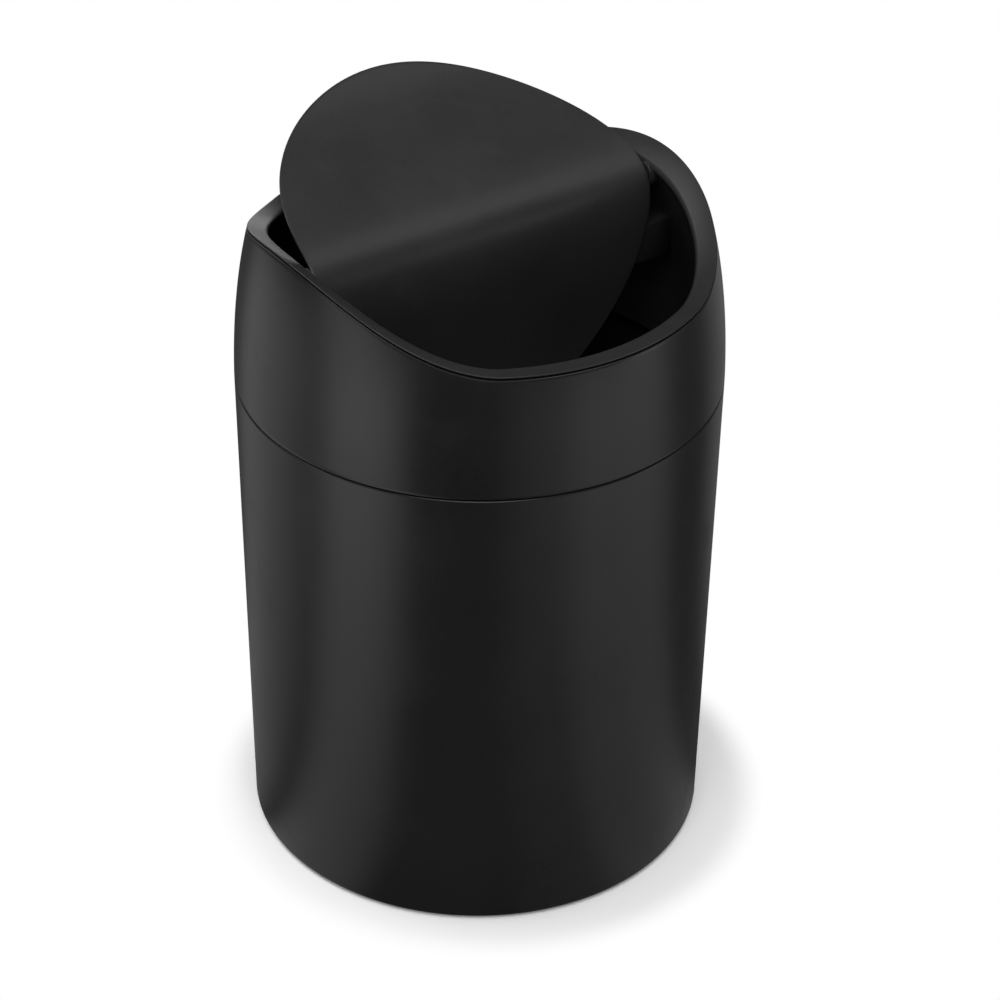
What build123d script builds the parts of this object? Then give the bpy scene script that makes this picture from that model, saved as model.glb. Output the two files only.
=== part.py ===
from build123d import *
import os
from math import asin, cos, degrees, radians, sin

# Countertop bin with a swing lid, in millimetres.
# Origin: centre of the base, on the surface it stands on. +Z up, +X along the flap's pivots,
# -Y towards the front. The flap is held open, with its back half up.

# Can: a tapered sleeve of coated sheet around a moulded base
base_radius = 66.0
can_flare = 2.9           # how much wider the can is at the seam than at its base
seam_height = 145.9
seam_gap = 0.5
can_sheet = 0.8
foot_clear = 0.4          # height of the sleeve's folded foot above the surface
foot_fold_width = 6.0
foot_fold_radius = 2.0
hem_depth = 4.0
hem_rounding = 0.5

hem_slack = 0.2           # between the two layers of the sleeve's hemmed mouth

# Moulded base
base_wall = 2.0
base_floor_height = 5.0
base_rim_height = 14.0
base_fit = 0.1
foot_ring_gap = 1.0       # between the sleeve's folded foot and the ring
foot_ring_width = 13.0
foot_ring_clear = 0.6
foot_ring_slope = 1.5

# Non-slip pads under the foot ring
pad_count = 4
pad_radius = 5.0
pad_depth_in_base = 1.0
pad_fit = 0.1

# Lid: outer skin above the seam, an elliptical shoulder
shoulder_inset = 18.34    # radial half-axis of the shoulder's ellipse
shoulder_rise = 67.0      # vertical half-axis of the shoulder's ellipse
lid_sheet = 0.8
skin_rounding = 0.25

# Saddle-shaped rim: high over the two pivots, low at the front and back
rim_rise_high = 52.9      # above the seam
rim_rise_low = 36.6       # above the seam
rim_flat = 9.0            # how far the low level runs in from the front and back of the rim
rim_fullness = 1.6
land_tilt = 0.63          # inward fall of the lip over the pivots, per mm of width
land_tilt_sharpness = 4   # how quickly that fall dies away from the pivots
lip_rounding = 1.2
lip_facets = 3
rim_stations = 32
lip_search_steps = 4

# Moulded liner of the lid
liner_fit = 0.05
liner_wall = 1.8
liner_depth = 3.8         # from the skin's outside to the bore, at the seam
liner_inset = 27.0        # radial half-axis of the liner's inner ellipse
liner_rise = 65.0         # vertical half-axis of the liner's inner ellipse
lip_thickness = 3.0
lip_cover = 0.5           # thickness of the lip's edge where it lies over the skin
lip_cover_root = 1.0      # how far that edge runs back into the lip
reveal = 0.5              # shadow gap between that edge and the skin
groove_width = 0.6
groove_depth = 10.5       # below the low level of the rim
flange_thickness = 1.8
skirt_clearance = 0.4
skirt_depth = 12.0
skirt_chamfer = 0.8

# Soft ring that holds the lid in the can's mouth
grip_height = 4.2
grip_from_skirt_end = 3.0
grip_groove = 0.8
grip_lip_count = 3
grip_lip_height = 0.45
grip_slide_clearance = 0.1

# Pivots
pivot_below_rim = 7.6
pin_radius = 1.25
pin_length = 11.0
pin_in_flap = 6.5
pin_fit = 0.03
running_clearance = 0.05
bush_wall = 1.2
bush_length = 4.0
bush_flange_radius = 3.4
bush_flange = 0.5
boss_radius = 3.6
boss_reach = 6.5
flap_side_gap = 0.3

# Flap: a wave-shaped sheet over a moulded frame, symmetrical front to back
flap_end_clearance = 2.56 # between each end of the flap and the bore beside the pivot
flap_edge_clearance = 4.4 # between the swinging edges and the widest part of the bore
flap_crest = 2.2          # top of the wave above the pivot axis
flap_drop = 32.0          # from the crest down to the front and back edges
crest_handle = 12.0       # flatness of the wave at its crest
edge_handle = 21.5        # flatness of the wave towards its edges
edge_slope = 0.3
wave_overrun = 6.0        # extra length of the wave past its edges, before it is trimmed
wave_stations = 8
flat_end_angle = 4
flap_sheet = 0.8
frame_wall = 1.2
frame_inset = 0.8
bond_gap = 0.02
spine_radius = 3.4
rib_count = 4
rib_spacing = 22.0
rib_thickness = 1.2
rib_depth = 2.5
open_angle = 53.7         # from closed, where the flap rests on its stops
stop_gap = 0.3
stop_overlap = 6.4        # how far each stop reaches in under the end of the flap
stop_top = 14.0           # below the pivot axis
stop_height = 12.0
stop_width = 8.0

overrun = 6.0             # how far a cutting solid runs past what it cuts


def leaned_radius(radius, inset, rise, height):
    # Radius, at a height, of an elliptical wall that is plumb at the seam and leans in above it
    return radius - inset * (1 - (1 - ((height - seam_height) / rise) ** 2) ** 0.5)


# Worked out from the sizes above
seam_radius = base_radius + can_flare
can_top = seam_height - seam_gap / 2
skin_bottom = seam_height + seam_gap / 2
can_taper = can_flare / seam_height
hem_inner_radius = seam_radius - 2 * can_sheet - hem_slack
foot_ring_outer = base_radius - foot_fold_width - foot_ring_gap
foot_ring_inner = foot_ring_outer - foot_ring_width
pad_circle = (foot_ring_inner + foot_ring_outer) / 2
rim_high = seam_height + rim_rise_high
rim_low = seam_height + rim_rise_low
above_rim = rim_high + overrun
rim_radius_high = leaned_radius(seam_radius, shoulder_inset, shoulder_rise, rim_high)
rim_radius_low = leaned_radius(seam_radius, shoulder_inset, shoulder_rise, rim_low)
rim_half_span = rim_radius_low - rim_flat
liner_inner_radius = seam_radius - liner_depth
skirt_outer_radius = hem_inner_radius - skirt_clearance
skirt_bottom = can_top - skirt_depth
groove_bottom = rim_low - groove_depth
pivot_height = rim_high - pivot_below_rim
bore_at_pivot = leaned_radius(liner_inner_radius, liner_inset, liner_rise, pivot_height)
flap_half_width = bore_at_pivot - flap_end_clearance
flap_swing_radius = liner_inner_radius - flap_edge_clearance
flap_half_depth = (flap_swing_radius**2 - (flap_drop - flap_crest) ** 2) ** 0.5
boss_face = flap_half_width + flap_side_gap + bush_flange
stop_reach = flap_half_width - stop_overlap
pivot_axis = Axis((0, 0, pivot_height), (1, 0, 0))


def can_radius(height):
    return base_radius + can_taper * height


def turned(*outline):
    # Closed outline of curves in (radius, height), turned about the upright axis
    return revolve(Plane.XZ * make_face(Curve() + list(outline)), Axis.Z)


def turned_points(*points):
    return revolve(Plane.XZ * make_face(Polyline(*points, close=True)), Axis.Z)


def upright_ellipse(radius, inset, rise, low, high):
    # Arc of an ellipse that is plumb at the seam and leans in above it
    start = degrees(asin((low - seam_height) / rise))
    end = degrees(asin((high - seam_height) / rise))
    centre = (radius - inset, seam_height)
    return EllipticalCenterArc(centre, inset, rise, start_angle=start, arc_size=end - start)


def shoulder(offset, low, high):
    # The lid's outer ellipse, moved inwards by offset
    return upright_ellipse(seam_radius - offset, shoulder_inset - offset, shoulder_rise - offset, low, high)


def liner_bore(offset, low, high):
    # The liner's inner ellipse, moved outwards by offset
    return upright_ellipse(liner_inner_radius + offset, liner_inset + offset, liner_rise + offset, low, high)


def between(outer, inner):
    # Solid of revolution between two arcs that run over the same heights
    return turned(outer, Line(outer @ 1, inner @ 1), inner, Line(inner @ 0, outer @ 0))


def rim_height(across):
    # Height of the saddle at a distance across from the pivot axis
    closeness = max(0.0, 1 - (across / rim_half_span) ** 2)
    return rim_low + (rim_high - rim_low) * closeness**rim_fullness


def land_height(angle, radius):
    # Height of the lip's top face, level at front and back and falling inwards at the pivots
    rim_radius = rim_radius_high * cos(angle) ** 2 + rim_radius_low * sin(angle) ** 2
    tilt = land_tilt * cos(angle) ** land_tilt_sharpness
    return rim_height(rim_radius * sin(angle)) - tilt * (rim_radius - radius)


def lip_radius(angle):
    # Where the lip's top face would meet the liner's bore
    radius = rim_radius_high
    for _ in range(lip_search_steps):
        height = land_height(angle, radius)
        radius = leaned_radius(liner_inner_radius, liner_inset, liner_rise, height)
    return radius


def ring(point_at):
    angles = [radians(360 * n / rim_stations) for n in range(rim_stations)]
    places = [point_at(angle) for angle in angles]
    points = [(radius * cos(a), radius * sin(a), height) for a, (radius, height) in zip(angles, places)]
    return Wire(Spline(*points, periodic=True))


def level_circle(radius, height):
    return Wire(Edge.make_circle(radius, Plane((0, 0, height))))


def eased_lip(turn):
    # Ring on the rounded inner edge of the lip, from its top face (0 degrees) to the bore (90)
    def point_at(angle):
        radius = lip_radius(angle) + lip_rounding * (1 - sin(turn))
        return radius, land_height(angle, radius) - lip_rounding * (1 - cos(turn))

    return ring(point_at)


def above_land():
    # Everything over the rim: its saddle-shaped top face and the eased inner edge of the lip
    outer_radius = seam_radius + overrun
    rings = [
        level_circle(outer_radius, above_rim + 2 * overrun),
        ring(lambda angle: (outer_radius, land_height(angle, outer_radius))),
    ]
    for facet in range(lip_facets + 1):
        rings.append(eased_lip(radians(90 * facet / lip_facets)))
    rings.append(level_circle(overrun, rim_low - overrun))
    return Part() + Solid.make_loft(rings, ruled=True)


def make_can_wall():
    fold_inner = base_radius - foot_fold_width
    inner_foot = foot_clear + can_sheet
    outline = Polyline(
        (fold_inner, foot_clear),
        (can_radius(foot_clear), foot_clear),
        (can_radius(can_top), can_top),
        (hem_inner_radius, can_top),
        (hem_inner_radius, can_top - hem_depth),
        (can_radius(can_top - hem_depth) - can_sheet, can_top - hem_depth),
        (can_radius(inner_foot) - can_sheet, inner_foot),
        (fold_inner, inner_foot),
        close=True,
    )
    face = make_face(outline)

    def corner(radius, height):
        return face.vertices().sort_by_distance((radius, height))[0]

    face = fillet(corner(can_radius(foot_clear), foot_clear), foot_fold_radius)
    face = fillet(corner(can_radius(inner_foot) - can_sheet, inner_foot), foot_fold_radius - can_sheet)
    for radius in (can_radius(can_top), hem_inner_radius):
        face = fillet(corner(radius, can_top), hem_rounding)
    return revolve(Plane.XZ * face, Axis.Z)


def make_base_pan():
    floor_underside = base_floor_height - base_wall
    ring_top = foot_ring_clear + base_wall
    seat = foot_clear + can_sheet
    wall = can_sheet + base_fit
    corner = foot_fold_radius - can_sheet
    return turned_points(
        (0, floor_underside),
        (foot_ring_inner - foot_ring_slope, floor_underside),
        (foot_ring_inner, foot_ring_clear),
        (foot_ring_outer, foot_ring_clear),
        (foot_ring_outer, seat),
        (can_radius(seat) - wall - corner, seat),
        (can_radius(seat + corner) - wall, seat + corner),
        (can_radius(base_rim_height) - wall, base_rim_height),
        (can_radius(base_rim_height) - wall - base_wall, base_rim_height),
        (can_radius(seat + corner) - wall - base_wall, ring_top),
        (foot_ring_inner + base_wall, ring_top),
        (foot_ring_inner + base_wall - foot_ring_slope, base_floor_height),
        (0, base_floor_height),
    )


def pad_places():
    return PolarLocations(pad_circle, pad_count, start_angle=180 / pad_count)


def make_foot_pads():
    height = foot_ring_clear + pad_depth_in_base
    upright = (Align.CENTER, Align.CENTER, Align.MIN)
    return [place * Cylinder(pad_radius, height, align=upright) for place in pad_places()]


def make_base_with_recesses():
    upright = (Align.CENTER, Align.CENTER, Align.MIN)
    recess = Cylinder(pad_radius + pad_fit, foot_ring_clear + pad_depth_in_base, align=upright)
    return make_base_pan() - [place * recess for place in pad_places()]


def lowered(land, drop):
    return Pos(0, 0, -drop) * land


def make_lid_skin(land):
    skin = between(shoulder(0, skin_bottom, above_rim), shoulder(lid_sheet, skin_bottom, above_rim))
    skin -= lowered(land, lip_cover + reveal)
    return fillet(skin.edges().filter_by(GeomType.CIRCLE).group_by(Axis.Z)[0], skin_rounding)


def along_pivots(radius, start, end):
    # Round bar on the pivot axis, from one distance from the centre to another
    bar = Cylinder(radius, end - start, align=(Align.CENTER, Align.CENTER, Align.MIN))
    return Plane((start, 0, pivot_height), x_dir=(0, 1, 0), z_dir=(1, 0, 0)) * bar


def wave(offset):
    # Open curve of the closed flap's section (front-back, height), moved down square to itself
    crest = pivot_height + flap_crest
    edge = crest - flap_drop
    half = Bezier(
        (0, crest),
        (crest_handle, crest),
        (flap_half_depth - edge_handle, edge + edge_slope * edge_handle),
        (flap_half_depth, edge),
    )
    back = []
    for station in range(wave_stations + 1):
        place = half @ (station / wave_stations)
        slope = half % (station / wave_stations)
        back.append((place.X + offset * slope.Y, place.Y - offset * slope.X))
    back.append((back[-1][0] + wave_overrun * slope.X, back[-1][1] + wave_overrun * slope.Y))
    front = [(-across, height) for across, height in reversed(back[1:])]
    return Spline(*front, *back, tangents=[(slope.X, -slope.Y), (slope.X, slope.Y)])


def across_flap(face, half_length):
    # Section of the closed flap (front-back, height), extruded both ways along the pivots
    section = Plane((-half_length, 0, 0), x_dir=(0, 1, 0), z_dir=(1, 0, 0))
    return extrude(section * face, 2 * half_length)


def wave_sheet(top_offset, bottom_offset, half_length=flap_half_width):
    top = wave(top_offset)
    bottom = wave(bottom_offset)
    sides = [Line(top @ end, bottom @ end) for end in (0, 1)]
    return across_flap(make_face(Curve() + [top, bottom] + sides), half_length)


def wave_block(offset, level, half_length=flap_half_width):
    # All that lies between the moved wave and a level line over or under it
    curve = wave(offset)
    front, back = curve @ 0, curve @ 1
    frame = Polyline(front, (front.X, level), (back.X, level), back)
    return across_flap(make_face(Curve() + [curve, frame]), half_length)


def swing_room(inset):
    # Ellipsoid about the pivot axis that the flap stays inside as it swings, with small flat ends
    half_width = flap_half_width - inset
    half_swing = flap_swing_radius - inset
    arc = EllipticalCenterArc(
        (0, 0), half_width, half_swing, start_angle=flat_end_angle, arc_size=180 - 2 * flat_end_angle
    )
    right, left = arc @ 0, arc @ 1
    half = make_face(Curve() + [arc, Polyline(left, (left.X, 0), (right.X, 0), right)])
    return revolve(Plane((0, 0, pivot_height), x_dir=(1, 0, 0), z_dir=(0, -1, 0)) * half, pivot_axis)


def make_flap_panel():
    return wave_sheet(0, flap_sheet) & swing_room(0)


def make_flap_frame():
    top = flap_sheet + bond_gap
    underside = top + frame_wall
    shell = wave_sheet(top, underside) & swing_room(frame_inset)
    spine_half = flap_half_width - frame_inset
    spine = along_pivots(spine_radius, -spine_half, spine_half)
    spine &= wave_block(top, pivot_height - flap_swing_radius)
    ribs = []
    for n in range(rib_count):
        middle = (n - (rib_count - 1) / 2) * rib_spacing
        rib = wave_sheet(underside - bond_gap, underside + rib_depth, rib_thickness / 2)
        ribs.append(Pos(middle, 0, 0) * rib & swing_room(frame_inset + rib_depth))
    frame = shell + spine + ribs
    for side in (-1, 1):
        inner = side * (flap_half_width - pin_in_flap)
        outer = side * (flap_half_width + 1)
        frame -= along_pivots(pin_radius + pin_fit, min(inner, outer), max(inner, outer))
    return frame


def make_pin(side):
    start = flap_half_width - pin_in_flap
    return mirrored(along_pivots(pin_radius, start, start + pin_length), side)


def mirrored(part, side):
    # Pieces are drawn on the +X side
    return part if side > 0 else mirror(part, Plane.YZ)


def opened(part):
    return part.rotate(pivot_axis, open_angle)


def inside(arc):
    # Solid core within an upright arc
    foot, head = arc @ 0, arc @ 1
    return turned(arc, Line(head, (0, head.Y)), Line((0, head.Y), (0, foot.Y)), Line((0, foot.Y), foot))


def make_stop_post():
    # Rib under a pivot, with flanks that back the flap's underside where its swing ends
    reach = liner_inner_radius - stop_reach
    middle = Vector(stop_reach + reach / 2, 0, pivot_height - stop_top - stop_height / 2)
    post = Pos(middle) * Box(reach, stop_width, stop_height)
    clear_of_flap = flap_sheet + bond_gap + frame_wall + stop_gap
    swept = wave_block(clear_of_flap, pivot_height + flap_swing_radius, liner_inner_radius)
    for swing in (open_angle, -open_angle):
        post -= swept.rotate(pivot_axis, swing)
    return post & inside(liner_bore(liner_wall / 2, seam_height, above_rim))


def bush_bore():
    return pin_radius + running_clearance


def make_bush():
    tube = along_pivots(bush_bore() + bush_wall, boss_face, boss_face + bush_length)
    flange = along_pivots(bush_flange_radius, boss_face - bush_flange, boss_face)
    return tube + flange - along_pivots(bush_bore(), boss_face - bush_flange, boss_face + bush_length)


def make_boss():
    boss = along_pivots(boss_radius, boss_face, boss_face + boss_reach)
    return boss & inside(shoulder(lid_sheet + groove_width, seam_height, above_rim))


def make_lip_cover(land):
    # Edge of the lip that lies over the skin and ends flush with its outside
    root = lid_sheet + groove_width + lip_cover_root
    band = between(shoulder(0, groove_bottom, above_rim), shoulder(root, groove_bottom, above_rim))
    return band & lowered(land, lip_cover)


def make_liner_body():
    # Bore wall, flange and skirt, set back from the skin near the rim to leave a shadow groove
    lower = shoulder(lid_sheet + liner_fit, seam_height, groove_bottom)
    upper = shoulder(lid_sheet + groove_width, groove_bottom, above_rim)
    bore = liner_bore(0, seam_height, above_rim)
    below_flange = Polyline(
        bore @ 0,
        (liner_inner_radius, skirt_bottom),
        (skirt_outer_radius - skirt_chamfer, skirt_bottom),
        (skirt_outer_radius, skirt_bottom + skirt_chamfer),
        (skirt_outer_radius, can_top),
        ((lower @ 0).X, can_top),
        lower @ 0,
    )
    step = Line(lower @ 1, upper @ 0)
    return turned(lower, step, upper, Line(upper @ 1, bore @ 1), bore, below_flange)


def make_liner(land):
    flange_top = can_top + flange_thickness
    hollow_top = rim_low - lip_thickness
    hollow_outside = shoulder(-overrun, flange_top, hollow_top)
    liner = make_liner_body() - between(hollow_outside, liner_bore(liner_wall, flange_top, hollow_top))
    liner -= grip_seat()
    bush_seat = along_pivots(bush_bore() + bush_wall, boss_face - 1, boss_face + bush_length)
    for side in (1, -1):
        liner = liner + mirrored(make_boss(), side) + mirrored(make_stop_post(), side)
        liner -= mirrored(bush_seat, side)
    return liner + make_lip_cover(land) - land


def grip_seat():
    # Groove round the skirt that the grip ring sits in
    low = skirt_bottom + grip_from_skirt_end
    inner_radius = skirt_outer_radius - grip_groove
    return turned_points(
        (inner_radius, low),
        (hem_inner_radius, low),
        (hem_inner_radius, low + grip_height),
        (inner_radius, low + grip_height),
    )


def make_grip_ring():
    low = skirt_bottom + grip_from_skirt_end
    tip_radius = hem_inner_radius - grip_slide_clearance
    valley_radius = tip_radius - grip_lip_height
    pitch = grip_height / grip_lip_count
    outline = [(skirt_outer_radius - grip_groove, low), (valley_radius, low)]
    for lip in range(grip_lip_count):
        outline.append((tip_radius, low + pitch * (lip + 0.5)))
        outline.append((valley_radius, low + pitch * (lip + 1)))
    outline.append((skirt_outer_radius - grip_groove, low + grip_height))
    return turned_points(*outline)


def build_parts():
    land = above_land()
    parts = {
        "can_wall": make_can_wall(),
        "base_pan": make_base_with_recesses(),
        "lid_skin": make_lid_skin(land),
        "rim_liner": make_liner(land),
        "grip_ring": make_grip_ring(),
        "flap_panel": opened(make_flap_panel()),
        "flap_frame": opened(make_flap_frame()),
    }
    for number, pad in enumerate(make_foot_pads(), start=1):
        parts[f"foot_pad_{number}"] = pad
    for name, side in (("left", -1), ("right", 1)):
        parts[f"pivot_bush_{name}"] = mirrored(make_bush(), side)
        parts[f"pivot_pin_{name}"] = opened(make_pin(side))
    return parts


os.makedirs("parts", exist_ok=True)
for node, solid in build_parts().items():
    solid.label = node
    export_step(solid, f"parts/{node}.step")
    print(node, len(solid.solids()), round(solid.volume, 1))
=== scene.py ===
import math

import bmesh
import bpy
from mathutils import Matrix, Vector


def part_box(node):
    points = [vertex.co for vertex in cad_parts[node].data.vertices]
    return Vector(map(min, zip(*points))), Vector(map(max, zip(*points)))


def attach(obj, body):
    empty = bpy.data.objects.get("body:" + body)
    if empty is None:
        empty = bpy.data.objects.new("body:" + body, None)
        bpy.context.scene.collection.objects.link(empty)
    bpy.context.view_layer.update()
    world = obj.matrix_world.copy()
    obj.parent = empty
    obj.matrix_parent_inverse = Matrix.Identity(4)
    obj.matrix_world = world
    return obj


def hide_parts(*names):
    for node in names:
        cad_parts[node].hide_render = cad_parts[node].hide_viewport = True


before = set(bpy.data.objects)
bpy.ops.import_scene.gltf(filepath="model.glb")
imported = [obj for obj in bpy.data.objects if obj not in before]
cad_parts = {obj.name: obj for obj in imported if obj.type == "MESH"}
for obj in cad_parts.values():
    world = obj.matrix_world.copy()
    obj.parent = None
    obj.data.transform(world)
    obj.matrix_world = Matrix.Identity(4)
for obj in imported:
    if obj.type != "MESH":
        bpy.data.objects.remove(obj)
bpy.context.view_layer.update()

mm = 0.001
seamHeight = (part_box("can_wall")[1][2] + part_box("lid_skin")[0][2]) / 2 / mm
pivotHeight = (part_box("pivot_pin_right")[0][2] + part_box("pivot_pin_right")[1][2]) / 2 / mm
openTurn = 53.7      # degrees, how far the stored flap stands from level
turnSteps = 256      # facets round the can and the lid
pivotSteps = 48      # facets round the pins, bushes and bosses
mergeDistance = 0.002 * mm
creaseAngle = math.radians(35)      # edges that turn more are rounded and shaded crisp
edgeSegments = 3     # facets across a rounded edge


class Field:
    # A number that runs through a node tree, so sums can be written as sums
    def __init__(self, tree, socket):
        self.tree, self.socket = tree, socket

    def join(self, operation, *others):
        made = self.tree.nodes.new("ShaderNodeMath")
        made.operation = operation
        for number, value in enumerate((self,) + others):
            if isinstance(value, Field):
                self.tree.links.new(value.socket, made.inputs[number])
            else:
                made.inputs[number].default_value = value
        return Field(self.tree, made.outputs[0])

    def __add__(self, other):
        return self.join("ADD", other)

    def __sub__(self, other):
        return self.join("SUBTRACT", other)

    def __mul__(self, other):
        return self.join("MULTIPLY", other)

    def __truediv__(self, other):
        return self.join("DIVIDE", other)

    def __pow__(self, other):
        return self.join("POWER", other)

    def __neg__(self):
        return self * -1

    def __rsub__(self, other):
        return (-self) + other

    __radd__ = __add__
    __rmul__ = __mul__


def node(tree, kind, *inputs, **settings):
    # Adds a node; inputs are (name, value or socket) pairs
    made = tree.nodes.new(kind)
    for name, value in settings.items():
        setattr(made, name, value)
    for name, value in inputs:
        if isinstance(value, Field):
            tree.links.new(value.socket, made.inputs[name])
        elif isinstance(value, bpy.types.NodeSocket):
            tree.links.new(value, made.inputs[name])
        else:
            made.inputs[name].default_value = value
    return made


def ramp(tree, value, start, end, low=0.0, high=1.0, curve="LINEAR"):
    # Goes from low to high while the value goes from start to end
    made = node(
        tree,
        "ShaderNodeMapRange",
        ("Value", value),
        ("From Min", start),
        ("From Max", end),
        ("To Min", low),
        ("To Max", high),
        interpolation_type=curve,
    )
    return Field(tree, made.outputs["Result"])


def objectCoords(tree):
    return node(tree, "ShaderNodeTexCoord").outputs["Object"]


camera = {
    "sensorWidth": 36.0,     # mm
    "focalLength": 137.33,   # mm
    "azimuth": 34.0,         # degrees round to the object's left
    "elevation": 33.28,      # degrees
    "aimHeight": 0.1012,     # metres, of a point on the object's axis
    "distance": 1.09716,     # metres from that point
    "yaw": -0.0068,          # radians off the axis
    "roll": 0.0136,          # radians
    "clipStart": 0.01,       # metres
}


def bearing(turnRight):
    # Level direction from the axis, in degrees round from the camera to its right
    angle = math.radians(camera["azimuth"] - turnRight)
    return Vector((-math.sin(angle), -math.cos(angle), 0))


def makeCamera():
    elevation = math.radians(camera["elevation"])
    toFront = bearing(0)
    spot = toFront * camera["distance"] * math.cos(elevation)
    spot.z = camera["aimHeight"] + camera["distance"] * math.sin(elevation)
    aim = -toFront * math.cos(elevation) - Vector((0, 0, math.sin(elevation)))
    aim.rotate(Matrix.Rotation(camera["yaw"], 3, "Z"))
    right = aim.cross(Vector((0, 0, 1))).normalized()
    up = right.cross(aim)
    turn = Matrix((right, up, -aim)).transposed() @ Matrix.Rotation(camera["roll"], 3, "Z")
    lens = bpy.data.cameras.new("camera")
    lens.sensor_width = camera["sensorWidth"]
    lens.lens = camera["focalLength"]
    lens.clip_start = camera["clipStart"]
    view = bpy.data.objects.new("camera", lens)
    view.matrix_world = Matrix.Translation(spot) @ turn.to_4x4()
    bpy.context.collection.objects.link(view)
    bpy.context.scene.camera = view


lampTarget = Vector((0, 0, 0.1))
lamps = {
    # degrees round to the camera's right, elevation, distance, width and height in metres, power in watts
    "frontTop": (0, 60, 1.0, 0.5, 0.5, 3.5),
    "leftStrip": (-60, 12, 1.0, 0.5, 0.7, 1.2),
    "leftTop": (-100, 60, 1.0, 0.5, 0.5, 2.6),
    "back": (-172, 12, 1.0, 1.4, 0.3, 1.8),
    "rightTop": (112, 65, 1.0, 0.4, 0.6, 0.85),
    "rightStrip": (78, 8, 1.0, 0.3, 0.5, 1.0),
}


def makeLamps():
    for name, (turnRight, elevation, distance, width, height, power) in lamps.items():
        rise = math.radians(elevation)
        spot = (bearing(turnRight) * math.cos(rise) + Vector((0, 0, math.sin(rise)))) * distance
        light = bpy.data.lights.new(name, "AREA")
        light.shape = "RECTANGLE"
        light.size = width
        light.size_y = height
        light.energy = power
        lamp = bpy.data.objects.new(name, light)
        lamp.location = spot
        lamp.rotation_euler = (lampTarget - spot).to_track_quat("-Z", "Y").to_euler()
        bpy.context.collection.objects.link(lamp)


backdrop = {
    # lengths are in metres
    "white": 1.0,            # strength at which the camera sees plain white paper
    "skyForObject": 0.5,     # strength of the sky as light on the can
    "skyInGloss": 0.15,      # strength of the sky in reflections
    "paper": 0.9,            # its shade, 0 black to 1 white
    "floorGlow": 0.09,       # lifts the shadow on the paper
    "floorInGloss": 0.08,    # strength of the paper in reflections
    "floorSide": 8.0,
    "shadowCentre": (80, 0.004),      # degrees round to the camera's right, distance from the axis
    "shadowFades": (0.0715, 0.084),   # distances from that centre
    "poolReach": (0.05, 0.45),        # distances from the axis
    "poolGrowth": (0.42, 2.5),        # brightness over that reach
    "poolEnds": (0.7, 1.5),           # distances over which the pools fade away
    "pools": {
        # light on the paper that only gloss shows:
        # degrees round to the camera's right, half width in degrees, brightness
        "left": (-50, 25, 0.69),
        "leftBack": (-104, 35, 0.27),
        "right": (64, 32, 0.36),
        "rightBack": (140, 28, 0.11),
        "rightFront": (32, 26, 0.18),
    },
}


def seenDirectly(tree, rays):
    # 1 for rays from the camera, straight or through something clear
    return Field(tree, rays["Is Camera Ray"]).join("MAXIMUM", Field(tree, rays["Is Transmission Ray"]))


def makeWorld():
    world = bpy.data.worlds.new("studio")
    world.use_nodes = True
    tree = world.node_tree
    background = tree.nodes["Background"]
    background.inputs["Color"].default_value = (1, 1, 1, 1)
    rays = node(tree, "ShaderNodeLightPath").outputs
    gloss = Field(tree, rays["Is Glossy Ray"])
    rest = backdrop["skyForObject"]
    whiter = seenDirectly(tree, rays) * (backdrop["white"] - rest)
    strength = whiter + gloss * (backdrop["skyInGloss"] - rest) + rest
    tree.links.new(strength.socket, background.inputs["Strength"])
    bpy.context.scene.world = world


def poolLight(tree):
    # Brightness of the pools on the paper, each a wedge that widens from the can's foot
    coords = objectCoords(tree)
    heading = node(tree, "ShaderNodeVectorMath", (0, coords), operation="NORMALIZE").outputs["Vector"]
    away = node(tree, "ShaderNodeVectorMath", (0, coords), operation="LENGTH").outputs["Value"]
    total = 0.0
    for turnRight, halfWidth, brightness in backdrop["pools"].values():
        facing = node(
            tree,
            "ShaderNodeVectorMath",
            (0, heading),
            (1, bearing(turnRight)),
            operation="DOT_PRODUCT",
        ).outputs["Value"]
        edge = math.cos(math.radians(halfWidth))
        total = ramp(tree, facing, edge, 1.0, 0.0, brightness, "SMOOTHSTEP") + total
    growth = ramp(tree, away, *backdrop["poolReach"], *backdrop["poolGrowth"])
    return total * growth * ramp(tree, away, *backdrop["poolEnds"], 1.0, 0.0, "SMOOTHSTEP")


def outsideShadow(tree):
    # 0 in the can's shadow, 1 on the plain white paper round it
    turnRight, aside = backdrop["shadowCentre"]
    away = node(
        tree,
        "ShaderNodeVectorMath",
        (0, objectCoords(tree)),
        (1, bearing(turnRight) * aside),
        operation="DISTANCE",
    ).outputs["Value"]
    return ramp(tree, away, *backdrop["shadowFades"], curve="SMOOTHSTEP")


def mixed(tree, share, first, second):
    return node(
        tree,
        "ShaderNodeMixShader",
        ("Fac", share),
        (1, first.outputs[0]),
        (2, second.outputs[0]),
    )


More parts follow.
